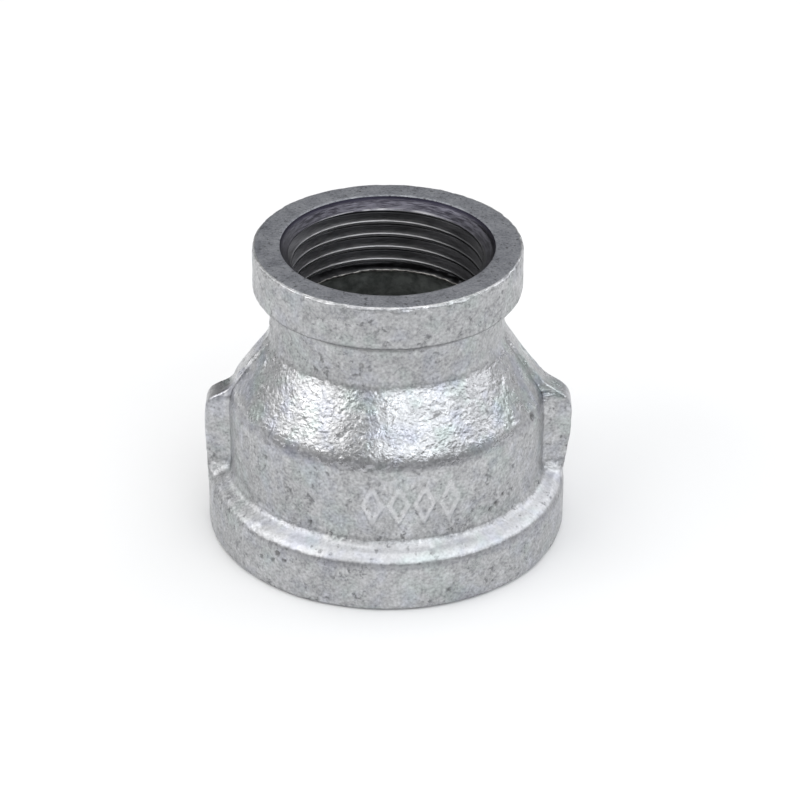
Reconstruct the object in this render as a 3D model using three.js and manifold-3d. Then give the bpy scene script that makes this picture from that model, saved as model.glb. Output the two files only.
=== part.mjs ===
// Concentric reducer: a reducing socket, 1 1/2 by 1, cast in malleable iron and hot-dip galvanised.
// It is one casting: banded ends, a barrel, a cone, a neck, two ribs that end in lugs, and a right-hand
// pipe thread tapped in each end. Millimetres, +Z up. The origin is the centre of the large end's face,
// +Z runs to the small end, and the ribs lie along +X and -X.

import * as THREE from 'three';
import { mergeVertices } from 'three/addons/utils/BufferGeometryUtils.js';
import Module from 'manifold-3d';

const wasm = await Module();
wasm.setup();

// Length over both faces
const LENGTH = 50;

// Outside, from the large end to the small end
const LARGE_BAND_RADIUS = 29.25;
const LARGE_BAND_TOP = 9.3;
const BARREL_RADIUS = 25.6;
const BARREL_FOOT = 10.6;
const BARREL_TOP = 24.2;
const NECK_RADIUS = 18.75;
const NECK_FOOT = 34.8;
const NECK_TOP = 42;
const SMALL_BAND_RADIUS = 21.45;
const SMALL_BAND_FOOT = 42.7;

// Ribs and lugs, one on each side of the mould's parting line
const RIB_WIDTH = 5;
const RIB_ROUND = 1.2;
const RIB_HEIGHT = 0.8;
const LUG_REACH = 29.85;
const LUG_TOP = 23.6;
const RIB_ROOT_RADIUS = 24.4;

// Pipe threads: 11 threads an inch, 55 degree form, cut parallel
const PITCH = 25.4 / 11;
const THREAD_DEPTH = 0.640327 * PITCH;
const FLANK_SLOPE = Math.tan(THREE.MathUtils.degToRad(27.5));
const ROOT_FLAT = 0.1667 * PITCH;
const LARGE_THREAD = { majorRadius: 23.902, length: 19 };
const SMALL_THREAD = { majorRadius: 16.625, length: 12.6 };
const MOUTH_RELIEF = 0.4;

// As-cast chamber between the threads
const CHAMBER_RADIUS = 23.1;
const CHAMBER_STEP = 0.7;
const CHAMBER_SHOULDER = 23.4;
const CHAMBER_THROAT_RADIUS = 16.3;
const CHAMBER_THROAT = 32.6;
const THROAT_TOP = 36.3;
const THROAT_TOP_RADIUS = 15.7;

// Fineness of the facets
const OUTSIDE_SIDES = 48;
const BORE_SIDES = 36;
const ROUND_STEPS = 2;
const PAST_FACE = 1;

const ZINC = new THREE.MeshStandardMaterial({ color: 0xb2b4b6, roughness: 0.45, metalness: 0.9 });

// A closed geometry as a solid for joining and cutting.
function solid(geometry) {
  geometry.deleteAttribute('normal');
  geometry.deleteAttribute('uv');
  const merged = mergeVertices(geometry);
  return new wasm.Manifold(new wasm.Mesh({
    numProp: 3,
    vertProperties: new Float32Array(merged.attributes.position.array),
    triVerts: new Uint32Array(merged.index.array),
  }));
}

// A solid's triangles as a geometry for a mesh.
function geometryOf(body) {
  const mesh = body.getMesh();
  const geometry = new THREE.BufferGeometry();
  geometry.setAttribute('position', new THREE.BufferAttribute(mesh.vertProperties, 3));
  geometry.setIndex(new THREE.BufferAttribute(mesh.triVerts, 1));
  geometry.computeVertexNormals();
  return geometry;
}

// A line through corners of [radius, height, setback], each corner rounded off from its setback.
function roundedLine(corners) {
  const points = corners.map(([radius, height]) => new THREE.Vector2(radius, height));
  const line = new THREE.Path();
  line.moveTo(points[0].x, points[0].y);
  corners.forEach(([radius, height, setback = 0], i) => {
    if (i === 0) return;
    if (setback === 0) {
      line.lineTo(radius, height);
      return;
    }
    const corner = points[i];
    const before = corner.clone().add(points[i - 1].clone().sub(corner).setLength(setback));
    const after = corner.clone().add(points[i + 1].clone().sub(corner).setLength(setback));
    line.lineTo(before.x, before.y);
    line.quadraticCurveTo(corner.x, corner.y, after.x, after.y);
  });
  return line.getPoints(ROUND_STEPS);
}

// A turned solid round the Z axis.
function turned(corners, sides) {
  const geometry = new THREE.LatheGeometry(roundedLine(corners), sides);
  geometry.rotateX(Math.PI / 2);
  return solid(geometry);
}

// The outside of the casting, as if it were solid.
function outside() {
  return turned([
    [0, 0],
    [LARGE_BAND_RADIUS, 0, 1],
    [LARGE_BAND_RADIUS, LARGE_BAND_TOP, 1.6],
    [BARREL_RADIUS, BARREL_FOOT, 0.8],
    [BARREL_RADIUS, BARREL_TOP, 2.4],
    [NECK_RADIUS, NECK_FOOT, 1.2],
    [NECK_RADIUS, NECK_TOP, 0.5],
    [SMALL_BAND_RADIUS, SMALL_BAND_FOOT, 0.7],
    [SMALL_BAND_RADIUS, LENGTH, 0.5],
    [0, LENGTH],
  ], OUTSIDE_SIDES);
}

// A prism of the shape, as thick as it says, centred on the shape's own plane.
function prism(shape, thickness) {
  const geometry = new THREE.ExtrudeGeometry(shape, { depth: thickness, bevelEnabled: false });
  geometry.translate(0, 0, -thickness / 2);
  return geometry;
}

// A rib that runs down the cone from the neck and widens into a lug that stands on the large band.
// Its side view and its plan are two prisms, and the rib is what they share.
function rib(turn) {
  const sideView = prism(new THREE.Shape(roundedLine([
    [NECK_RADIUS - RIB_HEIGHT, NECK_FOOT],
    [NECK_RADIUS, NECK_FOOT + RIB_HEIGHT],
    [BARREL_RADIUS + RIB_HEIGHT / 2, LUG_TOP + RIB_HEIGHT, 1.6],
    [LUG_REACH, LUG_TOP - RIB_HEIGHT, 2.4],
    [LUG_REACH, BARREL_FOOT + RIB_WIDTH, 2],
    [LARGE_BAND_RADIUS - RIB_ROUND, LARGE_BAND_TOP - RIB_ROUND],
    [RIB_ROOT_RADIUS, LARGE_BAND_TOP - RIB_ROUND],
    [RIB_ROOT_RADIUS, CHAMBER_SHOULDER],
  ])), RIB_WIDTH);
  sideView.rotateX(Math.PI / 2);
  const plan = prism(new THREE.Shape(roundedLine([
    [0, -RIB_WIDTH / 2],
    [LUG_REACH, -RIB_WIDTH / 2, RIB_ROUND],
    [LUG_REACH, RIB_WIDTH / 2, RIB_ROUND],
    [0, RIB_WIDTH / 2],
  ])), 2 * LENGTH);
  sideView.rotateZ(turn);
  plan.rotateZ(turn);
  return solid(sideView).intersect(solid(plan));
}

// The way through the casting: a chamfered bore at each end and the as-cast chamber between them.
function wayThrough() {
  const largeBore = LARGE_THREAD.majorRadius - THREAD_DEPTH;
  const smallBore = SMALL_THREAD.majorRadius - THREAD_DEPTH;
  const largeMouth = LARGE_THREAD.majorRadius + MOUTH_RELIEF;
  const smallMouth = SMALL_THREAD.majorRadius + MOUTH_RELIEF;
  return turned([
    [0, -PAST_FACE],
    [largeMouth + PAST_FACE, -PAST_FACE],
    [largeBore, largeMouth - largeBore],
    [largeBore, LARGE_THREAD.length],
    [CHAMBER_RADIUS, LARGE_THREAD.length + CHAMBER_STEP],
    [CHAMBER_RADIUS, CHAMBER_SHOULDER, 1.5],
    [CHAMBER_THROAT_RADIUS, CHAMBER_THROAT, 1.5],
    [THROAT_TOP_RADIUS, THROAT_TOP],
    [smallBore, LENGTH - SMALL_THREAD.length],
    [smallBore, LENGTH - smallMouth + smallBore],
    [smallMouth + PAST_FACE, LENGTH + PAST_FACE],
    [0, LENGTH + PAST_FACE],
  ], BORE_SIDES);
}

// The right-hand helical groove of a thread, from one height up to another: the groove's section is
// extruded by one unit for each turn, and each unit is then wound once round the Z axis.
function threadGroove(majorRadius, low, high) {
  const clear = THREAD_DEPTH + 0.3;
  const rootHalf = ROOT_FLAT / 2;
  const openHalf = rootHalf + clear * FLANK_SLOPE;
  const section = new THREE.Shape([
    new THREE.Vector2(majorRadius - clear, -openHalf),
    new THREE.Vector2(majorRadius, -rootHalf),
    new THREE.Vector2(majorRadius, rootHalf),
    new THREE.Vector2(majorRadius - clear, openHalf),
  ]);
  const steps = Math.round((BORE_SIDES * (high - low)) / PITCH);
  const geometry = new THREE.ExtrudeGeometry(section, {
    depth: steps / BORE_SIDES,
    steps,
    bevelEnabled: false,
  });
  const position = geometry.attributes.position;
  for (let i = 0; i < position.count; i++) {
    const radius = position.getX(i);
    const turns = position.getZ(i);
    const angle = 2 * Math.PI * turns;
    const height = low + PITCH * turns - position.getY(i);
    position.setXYZ(i, radius * Math.cos(angle), radius * Math.sin(angle), height);
  }
  return solid(geometry);
}

// The finished casting.
function casting() {
  const largeGroove = threadGroove(LARGE_THREAD.majorRadius, -PITCH, LARGE_THREAD.length);
  const smallGroove = threadGroove(SMALL_THREAD.majorRadius, LENGTH - SMALL_THREAD.length, LENGTH + PITCH);
  const body = outside().add(rib(0)).add(rib(Math.PI))
    .subtract(wayThrough())
    .subtract(largeGroove)
    .subtract(smallGroove);
  const mesh = new THREE.Mesh(geometryOf(body), ZINC);
  mesh.name = 'reducer_casting';
  return mesh;
}

const reducer = new THREE.Group();
reducer.add(casting());

export default reducer;
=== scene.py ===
"""A galvanised malleable iron reducing socket, standing on its large end on a pale studio floor.

The casting's visual mesh is one closed grid of rings: up the outside, over the small end's face, down
through the tapped bore, the as-cast chamber and the large tapped bore, and back over the large end's face.
Lengths are in millimetres until the mesh is made; everything in Blender is in metres.
"""

import math

import bpy
import numpy as np
from mathutils import Matrix, Vector, noise


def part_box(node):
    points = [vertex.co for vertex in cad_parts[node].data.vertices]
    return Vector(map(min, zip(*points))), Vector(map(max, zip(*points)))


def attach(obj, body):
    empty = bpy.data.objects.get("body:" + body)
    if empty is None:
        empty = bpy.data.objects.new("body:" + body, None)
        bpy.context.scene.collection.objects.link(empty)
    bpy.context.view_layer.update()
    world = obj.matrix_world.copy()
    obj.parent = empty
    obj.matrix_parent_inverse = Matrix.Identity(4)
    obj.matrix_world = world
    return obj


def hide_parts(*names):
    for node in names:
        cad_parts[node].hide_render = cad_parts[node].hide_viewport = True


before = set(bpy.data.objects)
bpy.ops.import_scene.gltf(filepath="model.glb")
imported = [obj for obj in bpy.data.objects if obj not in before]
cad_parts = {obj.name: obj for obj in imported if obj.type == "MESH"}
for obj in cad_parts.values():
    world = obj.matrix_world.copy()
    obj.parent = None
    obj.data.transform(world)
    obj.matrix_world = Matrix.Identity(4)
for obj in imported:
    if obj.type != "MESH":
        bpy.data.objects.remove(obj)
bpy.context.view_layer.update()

MM = 0.001
NODE = "reducer_casting"
low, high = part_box(NODE)

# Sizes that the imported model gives
LENGTH = (high.z - low.z) / MM
LARGE_BAND = high.y / MM
LUG_REACH = high.x / MM

# Outside: radii and heights, from the large end to the small end
BAND_TOP = 9.35
BARREL = 25.6
BARREL_FOOT = 10.45
BARREL_TOP = 24.0
NECK = 18.75
NECK_FOOT = 34.8
NECK_TOP = 42.0
SMALL_BAND = 21.45
SMALL_BAND_FOOT = 42.7

# Ribs: the side view of each, as (distance from the axis, height, setback of the rounding)
RIB_WIDTH = 4.3
RIB_DRAFT = 0.15
RIB_ROUND = 1.3
RIB_FILLET = 1.9
RIB_EDGE_ON_CONE = 0.75
LUG_FLARE = 1.6
LUG_FLARE_TOP = 13.2
RIB_RIGHT = [
    (17.0, 36.8),
    (18.8, 34.4, 0.8),
    (22.1, 30.0, 1.5),
    (25.6, 25.8, 1.2),
    (30.0, 22.9, 2.2),
    (LUG_REACH + 0.2, 16.5, 3.0),
    (29.0, 10.0, 1.5),
    (26.5, 7.0),
]
RIB_LEFT = [
    (17.0, 35.9),
    (18.8, 33.7, 0.8),
    (22.1, 29.6, 1.5),
    (24.9, 24.5, 0.8),
    (29.3, 22.5, 1.9),
    (LUG_REACH - 0.2, 16.5, 3.0),
    (29.2, 9.0, 1.5),
    (26.5, 6.3),
]

# Left parting line: the cone is lower behind it, as (height, drop), and a seam stands along it. The seam
# is in front of the casting's middle by a distance that grows between two heights
SEAM_DROP = [(24.2, 0.0), (26.0, 0.55), (30.0, 0.8), (33.5, 1.35), (36.0, 0.0)]
SEAM_BENDS = (28.0, 32.5)
SEAM_FORWARD = (2.2, 3.55)
SEAM_RELIEF = 0.5
SEAM_WIDTH = 0.42

# Pipe threads: 11 threads an inch, 55 degree form. Each reference is the height of a crest at angle 0
PITCH = 25.4 / 11
THREAD_DEPTH = 0.640327 * PITCH
SMALL_MAJOR = 16.625
LARGE_MAJOR = 23.902
SMALL_CREST_REF = 45.5
LARGE_CREST_REF = 3.1
MOUTH_RELIEF = 0.4
MOUTH_WALL = 0.4
MOUTH_SLOPE = 1.36
SMALL_MOUTH = SMALL_MAJOR + MOUTH_RELIEF
LARGE_MOUTH = LARGE_MAJOR + MOUTH_RELIEF
SMALL_BORE = SMALL_MAJOR - THREAD_DEPTH
LARGE_BORE = LARGE_MAJOR - THREAD_DEPTH

# The mouth's rounded edge, from the face inwards, as (distance outside the mouth, depth below the face)
MOUTH_EDGE = [(0.45, 0.0), (0.15, 0.03), (0.02, 0.14), (0.0, MOUTH_WALL)]
FACE_INSET = 0.9

# Inner ends of the threads: the groove's run-out, and the burr that stands into the small bore
SMALL_THREAD_END = LENGTH - 12.8
LARGE_THREAD_END = 19.0
RUN_OUT = 0.5
BURR = 0.28
BURR_RISE = 0.34
BURR_UNDERCUT = 0.3
BURR_THICKNESS = 0.15
RAGGED_RADIUS = 16

# Chamber between the threads
CHAMBER = 23.1
CHAMBER_STEP = 0.7
CHAMBER_SHOULDER = 23.4
THROAT = 16.3
THROAT_FOOT = 32.6
THROAT_TOP = SMALL_BORE + 0.9
THROAT_DROP = 1.6

# Cast mark: a row of lozenges on the front of the barrel
LOZENGES = 4
LOZENGE_WIDE = 1.45
LOZENGE_TALL = 3.0
LOZENGE_SPACING = 4.1
MARK_MIDDLE = 4.0
MARK_HEIGHT = 17.4
MARK_RELIEF = 0.36

# Blowholes: (degrees round from the front, height, radius)
PIT_DEPTH = 0.42
PITS = [
    (67, 24.4, 0.9),
    (-36, 7.0, 0.7),
    (-33.5, 6.2, 0.5),
    (-38, 5.4, 0.55),
    (-28, 12.3, 0.6),
    (43, 13.6, 0.7),
    (40, 13.0, 0.5),
    (46.5, 14.6, 0.5),
    (-48, 21.0, 0.5),
    (20, 3.0, 0.5),
    (84.5, 24.3, 0.45),
    (83.5, 23.3, 0.35),
    (-12, 38.2, 0.55),
    (-8, 37.6, 0.4),
    (118, 18.0, 0.8),
    (152, 28.5, 0.7),
    (-131, 5.2, 0.8),
    (-160, 14.0, 0.6),
]

# Grid: columns round the outside, spacings of the rings, and the rings of each turn of a thread, as
# fractions of its pitch, which are closest together at the edges of its crest
OUTSIDE_COLUMNS = 392
ROW_STEP = 0.5
MARK_STEP = 0.32
CONE_STEP = 0.38
LUG_STEP = 0.26
FINE_STEP = 0.2
CHAMBER_ROW_STEP = 0.6
ROUND_STEPS = 12
THREAD_ROWS = np.array([0, 0.065, 0.1, 0.135, 0.395, 0.5, 0.605, 0.865, 0.9, 0.935])
CREST_HALF = 0.0833


# ---------------------------------------------------------------- shape helpers

def rounded_line(corners):
    """A polyline through corners of (x, y, setback), each inner corner rounded off from its setback."""
    points = [np.array(corners[0][:2], float)]
    for before, corner, after in zip(corners, corners[1:], corners[2:]):
        here = np.array(corner[:2], float)
        to_before = np.array(before[:2], float) - here
        to_after = np.array(after[:2], float) - here
        start = here + corner[2] * to_before / np.linalg.norm(to_before)
        end = here + corner[2] * to_after / np.linalg.norm(to_after)
        for t in np.linspace(0, 1, ROUND_STEPS):
            points.append((1 - t) ** 2 * start + 2 * t * (1 - t) * here + t * t * end)
    points.append(np.array(corners[-1][:2], float))
    return np.array(points)


def spaced(line, step_at):
    """The line's points at the spacing that step_at(x, y) asks for."""
    lengths = np.linalg.norm(np.diff(line, axis=0), axis=1)
    along = np.concatenate([[0], np.cumsum(lengths)])
    dense = np.linspace(0, along[-1], 6000)
    x = np.interp(dense, along, line[:, 0])
    y = np.interp(dense, along, line[:, 1])
    count = np.concatenate([[0], np.cumsum(np.diff(dense) / step_at(x, y)[1:])])
    wanted = np.linspace(0, count[-1], int(round(count[-1])) + 1)
    return np.stack([np.interp(wanted, count, x), np.interp(wanted, count, y)], axis=1)


def smooth_max(a, b, width):
    """The larger of a and b, with the crossing filled by a fillet of about that width."""
    h = np.clip(0.5 + 0.5 * (a - b) / width, 0, 1)
    return b * (1 - h) + a * h + width * h * (1 - h)


def smooth_min(a, b, width):
    """The smaller of a and b, with the crossing rounded off over about that width."""
    return -smooth_max(-a, -b, width)


def fade(x, start, end):
    """0 before start and 1 after end, turning smoothly; start may be the larger."""
    t = np.clip((x - start) / (end - start), 0, 1)
    return t * t * (3 - 2 * t)


def field(points, size, seed, octaves=2):
    """Smooth noise from about -1 to 1 at each point, with features about size across."""
    shift = Vector((17.3, 5.1, 9.7)) * seed
    flat = points.reshape(-1, 3) / size
    values = [noise.fractal(Vector(p) + shift, 1.0, 2.0, octaves) for p in flat]
    return np.array(values).reshape(points.shape[:-1])


def crinkle(points, size, seed):
    """Ridged noise, 0 in the valleys and 1 on sharp crests, as hot zinc freezes over rough iron."""
    return 1 - np.abs(field(points, size, seed, 1)) * 2.2


# ---------------------------------------------------------------- columns and rows

def column_angles():
    """Angles of the columns, closer together at the ribs' sides, the cast mark and the left seam."""
    dense = np.linspace(0, 2 * math.pi, 20001)
    degrees = np.degrees(dense)
    from_rib = np.abs((degrees + 90) % 180 - 90)
    from_front = np.abs(degrees - 270)
    density = 1 + 2.4 * (fade(from_rib, 3.2, 3.8) - fade(from_rib, 7.2, 8.2))
    density += 0.6 * fade(from_front, 20, 18)
    density += 1.2 * fade(degrees, 188, 189) * fade(degrees, 193, 192)
    count = np.concatenate([[0], np.cumsum((density[1:] + density[:-1]) / 2)])
    count *= OUTSIDE_COLUMNS / count[-1]
    return np.interp(np.arange(OUTSIDE_COLUMNS), count, dense)


ANGLES = column_angles()
COARSE_ANGLES = ANGLES[::2]


def outside_step(radius, height):
    """Spacing of the rings: closer on the cast mark, the cone and the lugs' tops, and closest on the
    outer edges of the end faces."""
    step = np.full_like(height, ROW_STEP)
    on_lug_top = (height > 22.0) & (height < 25.6)
    on_mark = np.abs(height - MARK_HEIGHT) < LOZENGE_TALL + 0.6
    on_cone = (height > BARREL_TOP - 0.8) & (height < NECK_FOOT)
    near_edges = (height > LENGTH - 0.6) & (radius > SMALL_BAND - 0.8)
    near_edges |= (height < 1.0) & (radius > LARGE_BAND - 1.1)
    step[on_mark] = MARK_STEP
    step[on_cone] = CONE_STEP
    step[on_lug_top] = LUG_STEP
    step[near_edges] = FINE_STEP
    return step


def outside_line():
    """The outside from the large end's face to the small end's face."""
    return rounded_line([
        (LARGE_MOUTH + FACE_INSET, 0),
        (LARGE_BAND, 0, 0.9),
        (LARGE_BAND, BAND_TOP, 2.1),
        (BARREL, BARREL_FOOT, 1.65),
        (BARREL, BARREL_TOP, 2.3),
        (NECK, NECK_FOOT, 1.0),
        (NECK, NECK_TOP, 0.4),
        (SMALL_BAND, SMALL_BAND_FOOT, 0.7),
        (SMALL_BAND, LENGTH, 0.65),
        (SMALL_MOUTH + FACE_INSET, LENGTH),
    ])


# ---------------------------------------------------------------- ribs, mark and cast surface

def rib_radius(angle, height, side_view):
    """Where a ray at each angle from the rib's middle leaves the rib, at each height."""
    line = rounded_line(side_view)[::-1]
    top = np.interp(height, line[:, 1], line[:, 0])
    flare = LUG_FLARE * fade(height, LUG_FLARE_TOP, BAND_TOP) ** 2
    across = np.abs(np.sin(angle))
    ahead = np.cos(angle)
    on_top = top / ahead
    on_side = (RIB_WIDTH / 2 + flare + RIB_DRAFT * top) / (across + RIB_DRAFT * ahead)
    return smooth_min(on_top, on_side, RIB_ROUND * crisper_on_cone(height))


def crisper_on_cone(height):
    """How far the rib's roundings shrink on the cone, from 1 on the lug."""
    return 1 - (1 - RIB_EDGE_ON_CONE) * fade(height, BARREL_TOP - 1.5, BARREL_TOP + 0.5)


def with_ribs(radius, height):
    """The outside's radius at each ring and column, with both ribs joined on by fillets."""
    angle = ANGLES[None, :]
    heights = height[:, None]
    # The cone's drop starts at the left seam and dies away towards the back
    behind = np.degrees(math.pi - angle)
    drop = np.interp(heights, *zip(*SEAM_DROP)) * fade(behind, -5.5, -3.5) * fade(behind, 75, 35)
    base = np.repeat(radius[:, None], len(ANGLES), axis=1)
    base = np.where(drop > 0, np.maximum(base - drop, np.minimum(base, NECK)), base)
    right = np.abs((angle + math.pi) % (2 * math.pi) - math.pi)
    left = math.pi - right
    fillet = RIB_FILLET * crisper_on_cone(heights)
    for turned, side_view in ((right, RIB_RIGHT), (left, RIB_LEFT)):
        near = np.minimum(turned, math.radians(60))
        rib = rib_radius(near, heights, side_view)
        base = np.where(turned < math.radians(40), smooth_max(base, rib, fillet), base)
    return base


def mark_height(points):
    """A row of plain raised lozenge outlines on the front of the barrel, 0 to 1."""
    across = np.arctan2(points[..., 0], -points[..., 1]) * BARREL
    up = np.abs(points[..., 2] - MARK_HEIGHT)
    to_line = math.hypot(1 / LOZENGE_WIDE, 1 / LOZENGE_TALL)
    relief = np.zeros(points.shape[:-1])
    for i in range(LOZENGES):
        middle = MARK_MIDDLE + (i - (LOZENGES - 1) / 2) * LOZENGE_SPACING
        reach = np.abs(across - middle) / LOZENGE_WIDE + up / LOZENGE_TALL
        from_line = np.abs(reach - 1) / to_line
        relief = np.maximum(relief, fade(from_line, 0.6, 0.15))
    front = points[..., 1] < 0
    return relief * front


def seam_height(points):
    """The rough parting seam down the neck and the cone on the left, 0 to about 1."""
    level = points[..., 2]
    from_seam = np.abs(points[..., 1] + np.interp(level, SEAM_BENDS, SEAM_FORWARD))
    seam = fade(from_seam, SEAM_WIDTH, 0.05) * (points[..., 0] < 0)
    seam = seam * fade(level, 23.2, 24.6) * fade(level, 41, 38) * (1 - 0.5 * fade(level, 31.5, 33))
    return seam * np.clip(0.75 + 0.6 * field(points, 1.6, 16), 0, 1.2)


def pit_centres():
    """Where each large blowhole is on the outside, and its radius."""
    line = outside_line()
    for degrees, height, size in PITS:
        angle = math.radians(degrees)
        radius = np.interp(height, line[:, 1], line[:, 0])
        yield Vector((radius * math.sin(angle), -radius * math.cos(angle), height)), size


def pit_depth(points):
    """Blowholes and dents in the casting, 0 to 1: a few large ones, and a scatter of small ones."""
    angle = np.degrees(np.arctan2(points[..., 0], -points[..., 1]))
    reach = np.hypot(points[..., 0], points[..., 1])
    rough = 1 + 0.5 * field(points, 0.7, 12)
    pits = np.zeros(points.shape[:-1])
    for pit_angle, pit_height, size in PITS:
        across = np.radians(angle - pit_angle) * reach
        away = np.hypot(across, points[..., 2] - pit_height) * rough / size
        pits = np.maximum(pits, fade(away, 1.0, 0.2))
    scatter = fade(field(points, 1.1, 13), 0.42, 0.75) * fade(field(points, 6.0, 14), -0.1, 0.2)
    return np.maximum(pits, 0.5 * scatter)


def grid_normals(points):
    """Unit normals of a grid of points, rings by columns."""
    along = np.gradient(points, axis=0)
    around = np.roll(points, -1, axis=1) - np.roll(points, 1, axis=1)
    normals = np.cross(around, along)
    return normals / np.maximum(np.linalg.norm(normals, axis=-1, keepdims=True), 1e-9)


def cast_relief(points, radius, height):
    """How far the cast, galvanised skin stands out of the true shape, in millimetres."""
    h = height[:, None]
    on_face = np.maximum(fade(h, 0.5, 0.1), fade(h, LENGTH - 0.3, LENGTH - 0.05))
    cone = fade(h, BARREL_TOP - 0.2, BARREL_TOP + 1.8) * fade(h, NECK_FOOT + 0.5, NECK_FOOT - 0.8)
    barrel = fade(h, BARREL_FOOT, BARREL_FOOT + 1.5) * fade(h, BARREL_TOP - 0.5, BARREL_TOP - 3)
    lumps = (field(points, 7.0, 1) * 0.10 + field(points, 3.0, 2) * 0.04) * (1 - 0.5 * cone)
    hammered = field(points, 1.5, 3, 1) * 0.02 + field(points, 0.8, 4, 1) * 0.042
    grain = field(points, 1.0, 5) * 0.022 + (crinkle(points, 1.3, 6) - 0.5) * 0.02
    creases = (crinkle(points * np.array([0.55, 0.55, 1.0]), 1.2, 7) - 0.5) * 0.05
    creases *= barrel * fade(field(points, 9.0, 15), -0.1, 0.35)
    relief = lumps + hammered * cone + (grain + creases) * (1 - cone)
    relief += MARK_RELIEF * mark_height(points) + SEAM_RELIEF * seam_height(points)
    relief -= PIT_DEPTH * pit_depth(points)
    rim = fade(h, LENGTH - 1.2, LENGTH - 0.2) * fade(radius[:, None], SMALL_BAND - 0.8, SMALL_BAND - 0.3)
    nicks = fade(field(points, 1.2, 9), 0.1, 0.6) * 0.28 + field(points, 3.0, 10) * 0.18
    machined = field(points, 5.0, 8) * 0.02 - 0.02
    return relief * (1 - on_face) + machined * on_face - nicks * rim * (1 - 0.8 * on_face)


# ---------------------------------------------------------------- mesh assembly

class Shell:
    """A closed grid under construction: its points, its faces and the zone of each face."""

    def __init__(self):
        self.points = []
        self.faces = []
        self.zones = []
        self.count = 0

    def ring(self, points):
        """Adds a ring of points and gives their numbers."""
        self.points.append(np.asarray(points, float).reshape(-1, 3))
        first = self.count
        self.count += len(self.points[-1])
        return np.arange(first, self.count)

    def face(self, corners, zone):
        """Adds a face, without the corners that repeat, if three or more are left."""
        kept = [c for i, c in enumerate(corners) if c != corners[i - 1]]
        if len(set(kept)) >= 3:
            self.faces.append(kept)
            self.zones.append(zone)

    def bridge(self, a, b, zone):
        """Joins two rings with the same number of columns."""
        for k in range(len(a)):
            n = (k + 1) % len(a)
            self.face([a[k], a[n], b[n], b[k]], zone)

    def narrow(self, fine, coarse, zone):
        """Joins a ring to one with half its columns."""
        for j in range(len(coarse)):
            c0, c1 = coarse[j], coarse[(j + 1) % len(coarse)]
            f0, f1, f2 = fine[2 * j], fine[2 * j + 1], fine[(2 * j + 2) % len(fine)]
            for triangle in ((f0, f1, c0), (f1, c1, c0), (f1, f2, c1)):
                self.face(list(triangle), zone)

    def widen(self, coarse, fine, zone):
        """Joins a ring to one with twice its columns."""
        for j in range(len(coarse)):
            c0, c1 = coarse[j], coarse[(j + 1) % len(coarse)]
            f0, f1, f2 = fine[2 * j], fine[2 * j + 1], fine[(2 * j + 2) % len(fine)]
            for triangle in ((c0, c1, f1), (c0, f1, f0), (c1, f2, f1)):
                self.face(list(triangle), zone)


def round_points(radius, height, angles):
    """Points of a grid from a radius and a height for each ring and column."""
    radius = np.broadcast_to(radius, np.broadcast(radius, height, angles).shape)
    height = np.broadcast_to(height, radius.shape)
    return np.stack([radius * np.cos(angles), radius * np.sin(angles), height], axis=-1)


# Zones of the mesh, which are also the order of its materials
SKIN, FACE, THREAD, CHAMBER_WALL = range(4)


def outside_rings(shell):
    """The whole outside, with ribs, mark and cast relief."""
    line = spaced(outside_line(), outside_step)
    radius, height = line[:, 0], line[:, 1]
    grid = round_points(with_ribs(radius, height), height[:, None], ANGLES[None, :])
    grid = grid + grid_normals(grid) * cast_relief(grid, radius, height)[..., None]
    rings = [shell.ring(row) for row in grid]
    for i in range(len(rings) - 1):
        level = (height[i] + height[i + 1]) / 2
        is_face = level < 0.06 or level > LENGTH - 0.04
        shell.bridge(rings[i], rings[i + 1], FACE if is_face else SKIN)
    return rings[0], rings[-1]


def groove_depth(turn):
    """Depth of the thread's groove, 0 on the crest and 1 in the root, by the fraction of a pitch."""
    from_crest = np.abs((turn + 0.5) % 1 - 0.5)
    straight = np.clip((from_crest - CREST_HALF) / (0.5 - 2 * CREST_HALF), 0, 1)
    return straight - 0.035 * np.cos(2 * math.pi * from_crest)


def threaded_rings(shell, top, bottom, inner, reference, bore, envelope):
    """Rings that wind with a right-hand thread from the ring at the top height to the one at the bottom.

    Each ring runs on into the next turn where the columns close, and a ring's part past either end is
    merged into the plain ring there. The groove runs out at the inner height."""
    angles = COARSE_ANGLES
    (top_ring, top_height), (bottom_ring, bottom_height) = top, bottom
    rows = len(THREAD_ROWS)
    highest, lowest = np.max(top_height), np.min(bottom_height)
    turns = math.ceil((highest - lowest) / PITCH) + 2
    start = reference + PITCH * math.ceil((highest - reference) / PITCH)
    grid = []
    for m in range(turns * rows):
        turn = m // rows + THREAD_ROWS[m % rows]
        height = start - PITCH * turn + PITCH * angles / (2 * math.pi)
        inside = np.clip(height, bottom_height, top_height)
        depth = groove_depth(np.full_like(angles, turn)) * THREAD_DEPTH
        cut = bore + depth * fade(np.abs(inside - inner), 0, RUN_OUT)
        points = round_points(np.maximum(cut, envelope(inside)), inside, angles)
        points[:, :2] *= 1 + 0.0004 * field(points, 0.8, 11)[:, None]
        ring = shell.ring(points)
        ring = np.where(height > top_height - 0.07, top_ring, ring)
        ring = np.where(height < bottom_height + 0.07, bottom_ring, ring)
        grid.append(ring)
    above = [top_ring] * rows
    last = len(angles) - 1
    ordered = above + grid
    for m in range(len(above) - 1, len(ordered) - 1):
        a, b = ordered[m], ordered[m + 1]
        for k in range(last):
            shell.face([a[k], a[k + 1], b[k + 1], b[k]], THREAD)
        a_next, b_next = ordered[max(m - rows, 0)], ordered[max(m + 1 - rows, 0)]
        shell.face([a[last], a_next[0], b_next[0], b[last]], THREAD)


def ragged(angles, seed):
    """A rough edge's height round the bore, in millimetres."""
    points = np.stack([np.cos(angles), np.sin(angles), 0 * angles], axis=-1) * RAGGED_RADIUS
    return 0.1 * field(points, 2.2, seed, 3) + 0.14 * field(points, 0.6, seed + 1)


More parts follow.
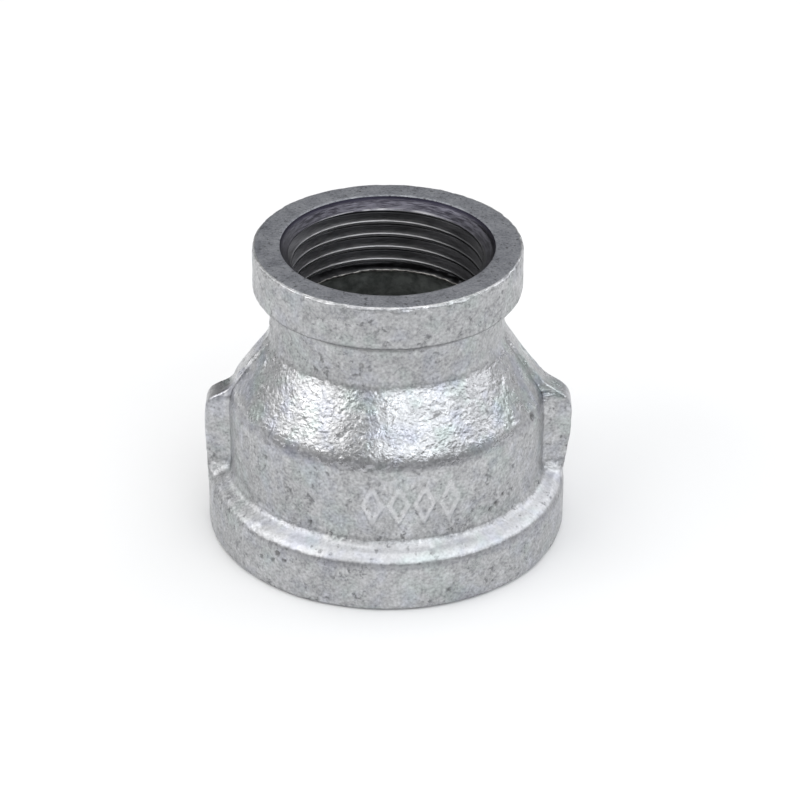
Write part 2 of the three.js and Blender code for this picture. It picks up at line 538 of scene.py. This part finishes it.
def small_envelope(height):
    """The least radius inside the small mouth: its chamfer, and below it the thread's crests."""
    return np.maximum(SMALL_MOUTH - MOUTH_SLOPE * (LENGTH - MOUTH_WALL - height), SMALL_BORE)


def large_envelope(height):
    """The least radius inside the large mouth: its chamfer, and above it the thread's crests."""
    return np.maximum(LARGE_MOUTH - MOUTH_SLOPE * (height - MOUTH_WALL), LARGE_BORE)


def plain_ring(shell, radius, height):
    """A round ring, which is level if the height is one number."""
    return shell.ring(round_points(np.full_like(COARSE_ANGLES, radius), height, COARSE_ANGLES))


def small_end_rings(shell, outer_last):
    """From the small end's face down through its thread, to the burr and the throat below it."""
    face, lip, edge, mouth = [
        plain_ring(shell, SMALL_MOUTH + out, LENGTH - depth) for out, depth in MOUTH_EDGE
    ]
    shell.narrow(outer_last, face, FACE)
    shell.bridge(face, lip, FACE)
    shell.bridge(lip, edge, FACE)
    shell.bridge(edge, mouth, THREAD)
    burr_height = SMALL_THREAD_END + ragged(COARSE_ANGLES, 21)
    brink_height = burr_height + BURR_RISE
    brink = plain_ring(shell, SMALL_BORE, brink_height)
    threaded_rings(shell, (mouth, LENGTH - MOUTH_WALL), (brink, brink_height),
                   brink_height, SMALL_CREST_REF, SMALL_BORE, small_envelope)
    burr = plain_ring(shell, SMALL_BORE - BURR, burr_height)
    under = plain_ring(shell, SMALL_BORE + BURR_UNDERCUT, burr_height - BURR_THICKNESS)
    throat = plain_ring(shell, THROAT_TOP, SMALL_THREAD_END - THROAT_DROP)
    shell.bridge(brink, burr, THREAD)
    shell.bridge(burr, under, THREAD)
    shell.bridge(under, throat, CHAMBER_WALL)
    return throat


def chamber_rings(shell, throat):
    """The rough chamber, from the throat down to the ring beside the large thread's inner end."""
    line = spaced(rounded_line([
        (THROAT_TOP, SMALL_THREAD_END - THROAT_DROP),
        (THROAT, THROAT_FOOT, 1.5),
        (CHAMBER, CHAMBER_SHOULDER, 2.0),
        (LARGE_BORE + CHAMBER_STEP, LARGE_THREAD_END + CHAMBER_STEP),
    ]), lambda x, y: np.full_like(x, CHAMBER_ROW_STEP))
    grid = round_points(line[:, :1], line[:, 1:], COARSE_ANGLES[None, :])
    ends = np.ones(len(grid))
    ends[0] = ends[-1] = 0
    rough = field(grid, 4.0, 41) * 0.22 + field(grid, 1.3, 42, 3) * 0.14
    grid = grid + grid_normals(grid) * (rough * ends[:, None])[..., None]
    rings = [throat] + [shell.ring(row) for row in grid[1:]]
    for a, b in zip(rings, rings[1:]):
        shell.bridge(a, b, CHAMBER_WALL)
    return rings[-1]


def large_end_rings(shell, chamber_last, outer_first):
    """From the chamber down through the large thread to the large end's face."""
    brink_height = LARGE_THREAD_END + ragged(COARSE_ANGLES, 31)
    brink = plain_ring(shell, LARGE_BORE, brink_height)
    shell.bridge(chamber_last, brink, CHAMBER_WALL)
    face, lip, edge, mouth = [plain_ring(shell, LARGE_MOUTH + out, depth) for out, depth in MOUTH_EDGE]
    threaded_rings(shell, (brink, brink_height), (mouth, MOUTH_WALL),
                   brink_height, LARGE_CREST_REF, LARGE_BORE, large_envelope)
    shell.bridge(mouth, edge, THREAD)
    shell.bridge(edge, lip, FACE)
    shell.bridge(lip, face, FACE)
    shell.widen(face, outer_first, FACE)


def make_casting():
    """The finished casting as one closed mesh."""
    shell = Shell()
    first, last = outside_rings(shell)
    throat = small_end_rings(shell, last)
    chamber_last = chamber_rings(shell, throat)
    large_end_rings(shell, chamber_last, first)
    points = np.concatenate(shell.points)
    # Points that no face uses, past the ends of the threads, are left out
    used = np.unique(np.concatenate([np.array(f) for f in shell.faces]))
    place = np.full(len(points), -1)
    place[used] = np.arange(len(used))
    faces = [[int(place[c]) for c in f] for f in shell.faces]
    mesh = bpy.data.meshes.new("casting")
    mesh.from_pydata((points[used] * MM).tolist(), [], faces)
    mesh.polygons.foreach_set("material_index", shell.zones)
    mesh.polygons.foreach_set("use_smooth", [True] * len(faces))
    mesh.update()
    return mesh


# ---------------------------------------------------------------- materials

class Nodes:
    """A material's node tree, with short calls for the nodes used here."""

    def __init__(self, name):
        self.material = bpy.data.materials.new(name)
        self.material.use_nodes = True
        self.tree = self.material.node_tree
        self.shader = self.tree.nodes["Principled BSDF"]
        self.place = self.tree.nodes.new("ShaderNodeTexCoord").outputs["Object"]

    def link(self, source, socket):
        self.tree.links.new(source, socket)

    def noise(self, size, detail=4, roughness=0.55, stretch=(1, 1, 1)):
        """Noise from 0 to 1 with features about size millimetres across."""
        mapping = self.tree.nodes.new("ShaderNodeMapping")
        mapping.inputs["Scale"].default_value = stretch
        self.link(self.place, mapping.inputs["Vector"])
        node = self.tree.nodes.new("ShaderNodeTexNoise")
        node.inputs["Scale"].default_value = 1 / (size * MM)
        node.inputs["Detail"].default_value = detail
        node.inputs["Roughness"].default_value = roughness
        self.link(mapping.outputs["Vector"], node.inputs["Vector"])
        return node.outputs["Fac"]

    def coordinate(self, axis):
        """Position along an axis of the casting, in millimetres."""
        node = self.tree.nodes.new("ShaderNodeSeparateXYZ")
        self.link(self.place, node.inputs["Vector"])
        return self.times(node.outputs[axis], 1 / MM)

    def radius(self):
        """Distance from the axis, in millimetres."""
        flat = self.tree.nodes.new("ShaderNodeVectorMath")
        flat.operation = "MULTIPLY"
        flat.inputs[1].default_value = (1, 1, 0)
        self.link(self.place, flat.inputs[0])
        node = self.tree.nodes.new("ShaderNodeVectorMath")
        node.operation = "LENGTH"
        self.link(flat.outputs["Vector"], node.inputs[0])
        return self.times(node.outputs["Value"], 1 / MM)

    def near(self, centre, reach):
        """1 around a point, fading to 0 at reach millimetres from it."""
        node = self.tree.nodes.new("ShaderNodeVectorMath")
        node.operation = "DISTANCE"
        node.inputs[1].default_value = centre * MM
        self.link(self.place, node.inputs[0])
        return self.ramp(node.outputs["Value"], 0.4 * reach * MM, reach * MM, 1, 0)

    def between(self, value, low, high, soft):
        """1 where the value is between low and high, fading to 0 over soft outside them."""
        rise = self.ramp(value, low - soft, low)
        fall = self.ramp(value, high, high + soft, 1, 0)
        return self.times(rise, fall)

    def total(self, *parts):
        """The sum of (value, weight) pairs of noises, each taken about its middle, round one half."""
        result = 0.5
        for value, weight in parts:
            centred = self.math("SUBTRACT", value, 0.5)
            result = self.math("ADD", self.times(centred, weight), result)
        return result

    def ramp(self, value, low, high, start=0.0, end=1.0):
        """start below low, end above high, and straight between them."""
        node = self.tree.nodes.new("ShaderNodeMapRange")
        node.inputs["From Min"].default_value = low
        node.inputs["From Max"].default_value = high
        node.inputs["To Min"].default_value = start
        node.inputs["To Max"].default_value = end
        self.link(value, node.inputs["Value"])
        return node.outputs["Result"]

    def math(self, operation, a, b):
        """A maths node's result; a and b are numbers or sockets."""
        node = self.tree.nodes.new("ShaderNodeMath")
        node.operation = operation
        for socket, value in zip(node.inputs, (a, b)):
            if isinstance(value, (int, float)):
                socket.default_value = value
            else:
                self.link(value, socket)
        return node.outputs["Value"]

    def times(self, first, *others):
        """The product of the values."""
        for value in others:
            first = self.math("MULTIPLY", first, value)
        return first

    def most(self, first, *others):
        """The largest of the values."""
        for value in others:
            first = self.math("MAXIMUM", first, value)
        return first

    def absolute(self, value):
        return self.math("ABSOLUTE", value, 0)

    def layers(self, colour, *coats):
        """A colour with coats laid over it in turn, each a (mask, colour) pair."""
        for mask, coat in coats:
            colour = self.mix(mask, colour, coat)
        return colour

    def mix(self, factor, a, b, blend="MIX"):
        """Colours a and b mixed; each is a colour or a socket."""
        node = self.tree.nodes.new("ShaderNodeMix")
        node.data_type = "RGBA"
        node.blend_type = blend
        if isinstance(factor, (int, float)):
            node.inputs["Factor"].default_value = factor
        else:
            self.link(factor, node.inputs["Factor"])
        for socket, value in ((node.inputs[6], a), (node.inputs[7], b)):
            if isinstance(value, tuple):
                socket.default_value = (*value, 1)
            else:
                self.link(value, socket)
        return node.outputs[2]

    def bump(self, height, depth, before=None):
        """A bump that is depth millimetres high, on top of an earlier one."""
        node = self.tree.nodes.new("ShaderNodeBump")
        node.inputs["Strength"].default_value = 1
        node.inputs["Distance"].default_value = depth * MM
        self.link(height, node.inputs["Height"])
        if before is not None:
            self.link(before, node.inputs["Normal"])
        return node.outputs["Normal"]

    def finish(self, colour, roughness, normal, metallic):
        """Sets the shader's inputs and gives the finished material."""
        self.link(colour, self.shader.inputs["Base Color"])
        self.link(roughness, self.shader.inputs["Roughness"])
        self.link(normal, self.shader.inputs["Normal"])
        self.shader.inputs["Metallic"].default_value = metallic
        return self.material


# Metal rubbed bright, on the outer rims of the end faces
BRIGHT_WORN = (0.8, 0.8, 0.81)


def raised_mark(n, height, radius):
    """The tops of the raised lozenges on the barrel."""
    return n.times(n.between(radius, BARREL + 0.22, BARREL + 0.6, 0.12),
                   n.between(height, MARK_HEIGHT - 3.6, MARK_HEIGHT + 3.6, 0.3),
                   n.between(n.coordinate("X"), MARK_MIDDLE - 9, MARK_MIDDLE + 9, 0.5))


def dark_specks(n, glossy):
    """Clusters of dark specks, fewer where the zinc is glossy."""
    specks = n.ramp(n.noise(1.1, 4, 0.62), 0.56, 0.66)
    clusters = n.ramp(n.noise(3.4, 4), 0.42, 0.56)
    return n.times(specks, clusters, n.ramp(glossy, 0, 1, 0.8, 0.45))


def painted_seam_highlight(n, height):
    """A painted highlight along the left parting seam, which drifts towards the front as it goes up."""
    forward = n.ramp(height, *SEAM_BENDS, *SEAM_FORWARD)
    from_seam = n.absolute(n.math("ADD", n.coordinate("Y"), forward))
    return n.times(n.ramp(from_seam, 0.4, 0.1),
                   n.ramp(n.coordinate("X"), -10, -12),
                   n.between(height, 23.4, 39.0, 1.0),
                   n.ramp(n.noise(1.5, 3), 0.4, 0.58),
                   n.ramp(height, 31.0, 33.0, 0.8, 0.35))


def dirt_and_painted_shade(n, height, radius):
    """Dirt in the hollows of the barrel and the large band and in the blowholes, and painted shade in the
    corner under the small band.
    """
    on_barrel = n.times(n.between(height, BARREL_FOOT + 1.2, BARREL_TOP - 1.5, 0.3),
                        n.ramp(radius, BARREL - 0.12, BARREL - 0.28))
    on_band = n.times(n.between(height, 1.2, BAND_TOP - 1.6, 0.3),
                      n.ramp(radius, LARGE_BAND - 0.12, LARGE_BAND - 0.28))
    # Painted shade in the corner under the small band
    corner = n.between(height, NECK_TOP - 0.9, SMALL_BAND_FOOT + 0.1, 0.3)
    blowholes = [n.near(centre, size) for centre, size in pit_centres()]
    return n.most(on_barrel, on_band, n.times(corner, 0.6), *blowholes)


def with_tints(n, grey, glossy):
    """Faint violet and green patches over the zinc, stronger where it is glossy."""
    strength = n.ramp(glossy, 0, 1, 0.45, 0.8)
    violet = n.times(strength, n.ramp(n.noise(4.2, 2), 0.5, 0.66))
    green = n.times(strength, n.ramp(n.noise(5.1, 2), 0.52, 0.68))
    grey = n.mix(violet, grey, (0.88, 0.9, 1.0), "MULTIPLY")
    return n.mix(green, grey, (0.9, 1.0, 0.95), "MULTIPLY")


def galvanised_skin():
    """Hot-dip zinc over rough cast iron: grey and mottled, with dark specks and faint tints. It is
    smoother, glossier and wrinkled on the cone. A painted highlight lies on the large band's shoulder but
    for the left end, and painted dark lines lie along the convex edges at the top of the band and of the
    barrel."""
    n = Nodes("galvanised_skin")
    height = n.coordinate("Z")
    radius = n.radius()
    cone = n.between(height, BARREL_TOP - 0.6, NECK_FOOT - 0.8, 1.0)
    wrinkled = n.between(height, BARREL_TOP + 1.4, NECK_FOOT - 1.2, 1.2)
    above_cone = n.ramp(height, NECK_FOOT - 0.5, NECK_FOOT + 1, 0, 0.1)
    # How far round the painted highlight on the shoulder and the painted dark line at the band's edge
    # reach: faint at the left end
    painted_light_reach = n.ramp(n.coordinate("X"), -24, -14, 0.05, 1)
    shoulder = n.times(n.between(height, BAND_TOP - 0.3, BARREL_FOOT - 0.2, 0.45), painted_light_reach)
    # Painted shade: dark lines along the convex top edges of the large band and of the barrel
    band_edge_shade = n.times(n.between(height, BAND_TOP - 1.6, BAND_TOP - 0.9, 0.5), painted_light_reach)
    barrel_edge_shade = n.between(height, BARREL_TOP - 0.4, BARREL_TOP + 0.5, 0.6)
    rim = n.times(n.ramp(height, LENGTH - 0.7, LENGTH - 0.4), n.ramp(n.noise(1.6, 3), 0.4, 0.6))
    glossy = n.most(cone, n.times(shoulder, 0.4))
    specks = dark_specks(n, glossy)
    raised = raised_mark(n, height, radius)

    mottle = n.noise(1.9, 5, 0.65)
    grain = n.noise(0.45, 2, 0.5)
    tone = n.total((n.noise(8.0, 3), 0.5), (mottle, 1.0), (grain, 1.3))
    zinc = n.mix(tone, (0.25, 0.252, 0.258), (0.67, 0.673, 0.682))
    zinc = n.layers(zinc,
                    (above_cone, (0.1, 0.1, 0.102)),
                    # Painted highlight on the large band's shoulder
                    (n.times(shoulder, 0.42), (0.84, 0.85, 0.88)),
                    (n.times(wrinkled, 0.08), (0.86, 0.87, 0.89)),
                    # Painted dark lines at the top edges of the band and of the barrel
                    (n.times(n.most(band_edge_shade, barrel_edge_shade), 0.33), (0.26, 0.26, 0.29)))
    zinc = n.layers(with_tints(n, zinc, glossy),
                    (specks, (0.17, 0.172, 0.178)),
                    # Painted highlight on the tops of the raised lozenges
                    (n.times(raised, 0.36), (0.75, 0.75, 0.76)),
                    # Painted highlight along the left parting seam
                    (painted_seam_highlight(n, height), (0.95, 0.95, 0.96)),
                    # Dirt in the hollows and blowholes, and painted shade under the small band
                    (n.times(dirt_and_painted_shade(n, height, radius), 0.8), (0.13, 0.13, 0.13)),
                    (n.times(rim, 0.4), BRIGHT_WORN))

    smooth = n.most(cone, rim, raised)
    roughness = n.math("ADD", n.ramp(mottle, 0.3, 0.7, 0.44, 0.34), n.ramp(smooth, 0, 1, 0, -0.1))
    roughness = n.math("ADD", roughness, n.times(n.most(specks, shoulder), 0.1))

    calm = n.ramp(shoulder, 0, 1, 1, 0.35)
    normal = n.bump(n.times(n.noise(0.7, 3, 0.55), calm), 0.085)
    normal = n.bump(n.times(grain, calm), 0.045, normal)
    wrinkles = n.absolute(n.math("SUBTRACT", n.noise(1.15, 2, 0.5), 0.5))
    normal = n.bump(n.times(wrinkles, wrinkled), 0.135, normal)
    return n.finish(zinc, roughness, normal, 1.0)


def machined_face():
    """A turned end face: dull, darker iron with stains and specks, and a bright outer rim rubbed by wear.
    """
    n = Nodes("machined_face")
    radius = n.radius()
    tone = n.total((n.noise(3.0, 4), 1.2), (n.noise(0.5, 3, 0.6), 1.2))
    specks = n.ramp(n.noise(0.7, 3), 0.60, 0.68, 0, 0.8)
    small_rim = n.between(radius, SMALL_BAND - 0.25, SMALL_BAND + 1, 0.2)
    large_rim = n.ramp(radius, LARGE_BAND - 1.3, LARGE_BAND - 1.0)
    # Here only wear: the outer rims rubbed bright
    wear_and_highlight = n.times(n.most(small_rim, large_rim), n.ramp(n.noise(1.2, 3), 0.35, 0.5))
    grey = n.mix(tone, (0.115, 0.12, 0.136), (0.43, 0.44, 0.47))
    grey = n.layers(grey, (specks, (0.08, 0.08, 0.085)), (wear_and_highlight, BRIGHT_WORN))
    roughness = n.ramp(tone, 0.3, 0.7, 0.62, 0.5)
    return n.finish(grey, roughness, n.bump(n.noise(0.4, 3), 0.06), 1.0)


def near_crest(n, radius, bore, beyond, soft):
    """1 from just inside a thread's crests to a little beyond them, fading over soft towards the roots."""
    return n.between(radius, bore - 0.2, bore + beyond, soft)


def cut_thread():
    """Threads cut after galvanising: dark steel grey, and darker on the chamfers. Painted shade lies at
    the right, on the chamfers' sides and in a dark line at each mouth. Painted highlights lie on the
    crests and the flanks beside them, fainter at the sides and none on the land at the small thread's
    inner end."""
    n = Nodes("cut_thread")
    radius = n.radius()
    height = n.coordinate("Z")
    chatter = n.noise(0.5, 4, 0.6, stretch=(0.25, 0.25, 4))
    tone = n.total((n.noise(3.0, 4), 1.0), (chatter, 1.0))
    sideways = n.math("DIVIDE", n.coordinate("X"), radius)
    # How strong the painted highlights on the threads are across the bore: faint at the far left, full
    # near the middle, fading out towards the right
    thread_light_reach = n.math("MINIMUM", n.ramp(sideways, -0.95, -0.6, 0.15, 1),
                    n.ramp(sideways, 0.15, 0.72, 1, 0.03))
    land = n.between(height, SMALL_THREAD_END - 1.0, LENGTH - 12.4, 0.8)
    wear_and_highlight = n.times(thread_light_reach, n.math("SUBTRACT", 1, land))
    small_flank = near_crest(n, radius, SMALL_BORE, 0.1, 1.2)
    large_flank = near_crest(n, radius, LARGE_BORE, 0.1, 1.2)
    flank = n.math("POWER", n.most(small_flank, large_flank), 2)
    crest = n.most(near_crest(n, radius, SMALL_BORE, 0.04, 0.1),
                   near_crest(n, radius, LARGE_BORE, 0.04, 0.1))
    burr = n.times(n.ramp(radius, SMALL_BORE - 0.15 * BURR, SMALL_BORE - 0.4 * BURR),
                   n.ramp(n.noise(1.2, 3), 0.35, 0.55, 0.2, 0.9))
    # Painted highlight on the flanks, brightening towards the crests
    steel = n.mix(n.times(flank, wear_and_highlight), (0.1, 0.1, 0.105), (0.38, 0.38, 0.39))
    steel = n.layers(steel,
                     (n.ramp(tone, 0.3, 0.7, 0.5, 0), (0.06, 0.06, 0.064)),
                     # Painted shade on the threads towards the right
                     (n.ramp(sideways, 0.5, 0.8, 0, 0.45), (0.04, 0.04, 0.042)),
                     # Painted highlight on the crests
                     (n.times(crest, wear_and_highlight, 0.8), (0.52, 0.52, 0.53)),
                     (n.times(land, 0.8), (0.05, 0.05, 0.052)),
                     (burr, (0.62, 0.6, 0.56)))

    # The chamfers, by the distance from the nearer end face
    from_middle = n.absolute(n.math("SUBTRACT", height, LENGTH / 2))
    from_face = n.math("SUBTRACT", LENGTH / 2, from_middle)
    aside = n.times(sideways, sideways)
    chamfer = n.mix(n.ramp(chatter, 0.4, 0.62), (0.035, 0.033, 0.045), (0.16, 0.156, 0.19))
    # Painted shade on the chamfers towards their left and right sides
    chamfer = n.mix(n.ramp(aside, 0.4, 0.9, 0, 0.6), chamfer, (0.035, 0.035, 0.037))
    steel = n.mix(n.ramp(from_face, 1.75, 1.85, 0.85, 0), steel, chamfer)
    # Painted shade: a near-black line at each mouth, just below the face
    steel = n.mix(n.ramp(from_face, 0.45, 0.75), (0.03, 0.028, 0.042), steel)
    # Painted highlight along the lower edge of the small mouth's chamfer
    lower_edge_highlight = n.times(n.between(from_face, 1.6, 1.75, 0.07), small_flank,
                         n.ramp(n.noise(4.0, 3), 0.38, 0.6, 0, 0.7), thread_light_reach)
    steel = n.mix(lower_edge_highlight, steel, (0.6, 0.6, 0.62))
    roughness = n.ramp(chatter, 0.3, 0.7, 0.34, 0.46)
    return n.finish(steel, roughness, n.bump(chatter, 0.03), 1.0)


def cast_chamber():
    """The rough chamber between the threads, with dull, greenish grey zinc."""
    n = Nodes("cast_chamber")
    lumps = n.noise(1.4, 5, 0.6)
    grey = n.mix(n.ramp(lumps, 0.35, 0.65), (0.2, 0.215, 0.205), (0.4, 0.42, 0.405))
    roughness = n.ramp(lumps, 0.3, 0.7, 0.5, 0.7)
    return n.finish(grey, roughness, n.bump(lumps, 0.25), 0.9)


# ---------------------------------------------------------------- stage

FLOOR_HALF = 3.0
WORLD_GREY = 0.27


def make_floor():
    """A plain pale floor under the fitting, six metres square."""
    mesh = bpy.data.meshes.new("floor")
    corners = [(-1, -1), (1, -1), (1, 1), (-1, 1)]
    mesh.from_pydata([(x * FLOOR_HALF, y * FLOOR_HALF, 0) for x, y in corners], [], [(0, 1, 2, 3)])
    floor = bpy.data.objects.new("floor", mesh)
    bpy.context.collection.objects.link(floor)
    n = Nodes("floor_paint")
    n.shader.inputs["Base Color"].default_value = (0.86, 0.86, 0.86, 1)
    n.shader.inputs["Roughness"].default_value = 0.9
    mesh.materials.append(n.material)


def add_softbox(name, azimuth, elevation, distance, size, power, colour=(1, 1, 1)):
    """A rectangular soft light aimed at the fitting. Azimuth 0 is the camera's, + to the right."""
    light = bpy.data.lights.new(name, "AREA")
    light.shape = "RECTANGLE"
    light.size, light.size_y = size
    light.energy = power
    light.color = colour
    lamp = bpy.data.objects.new(name, light)
    az, el = math.radians(azimuth), math.radians(elevation)
    away = Vector((math.sin(az) * math.cos(el), -math.cos(az) * math.cos(el), math.sin(el)))
    target = Vector((0, 0, 0.5 * LENGTH * MM))
    lamp.location = target + away * distance
    lamp.rotation_euler = away.to_track_quat("Z", "Y").to_euler()
    bpy.context.collection.objects.link(lamp)


def make_world(grey):
    """An even grey all round, which the metal reflects between the lights."""
    world = bpy.data.worlds.new("studio")
    world.use_nodes = True
    background = world.node_tree.nodes["Background"]
    background.inputs["Color"].default_value = (grey, grey, grey, 1)
    bpy.context.scene.world = world


# Camera: distance from the fitting's middle in millimetres, angles in degrees, and the framing
CAMERA_DISTANCE = 451.35
CAMERA_ELEVATION = 30.21
CAMERA_ROLL = 0.35
CAMERA_LENS = 125.3
CAMERA_SHIFT = (0.0164, -0.0242)


def make_camera():
    """A camera in front and above, with a long lens and a slight roll."""
    data = bpy.data.cameras.new("camera")
    data.sensor_width = 36
    data.lens = CAMERA_LENS
    data.shift_x, data.shift_y = CAMERA_SHIFT
    data.clip_start = 0.01
    camera = bpy.data.objects.new("camera", data)
    el = math.radians(CAMERA_ELEVATION)
    away = Vector((0, -math.cos(el), math.sin(el)))
    place = Vector((0, 0, 0.5 * LENGTH * MM)) + away * CAMERA_DISTANCE * MM
    turn = away.to_track_quat("Z", "Y").to_matrix().to_4x4()
    roll = Matrix.Rotation(math.radians(CAMERA_ROLL), 4, "Z")
    camera.matrix_world = Matrix.Translation(place) @ turn @ roll
    bpy.context.collection.objects.link(camera)
    bpy.context.scene.camera = camera


# ---------------------------------------------------------------- the scene

make_camera()

casting = bpy.data.objects.new("casting", make_casting())
bpy.context.collection.objects.link(casting)
for material in (galvanised_skin(), machined_face(), cut_thread(), cast_chamber()):
    casting.data.materials.append(material)
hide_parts(NODE)
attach(casting, "root")

make_floor()
make_world(WORLD_GREY)
# Name, azimuth, elevation, distance in metres, size in metres, power in watts and colour
add_softbox("softbox_front", -40, 6, 1.5, (1.5, 0.6), 0.2)
add_softbox("softbox_left", -60, 37, 0.8, (0.6, 0.42), 1.85)
add_softbox("softbox_far_left", -107, 28, 0.9, (1.0, 0.45), 1.9)
add_softbox("softbox_right", 31, 39, 0.8, (1.0, 0.42), 2.75, (0.94, 0.97, 1))
add_softbox("softbox_far_right", 110, 27, 0.9, (1.2, 0.45), 2.8, (0.96, 0.97, 1))
add_softbox("softbox_top", 0, 98, 1.2, (1.4, 1.4), 9.1)
bpy.context.scene.view_settings.view_transform = "Standard"
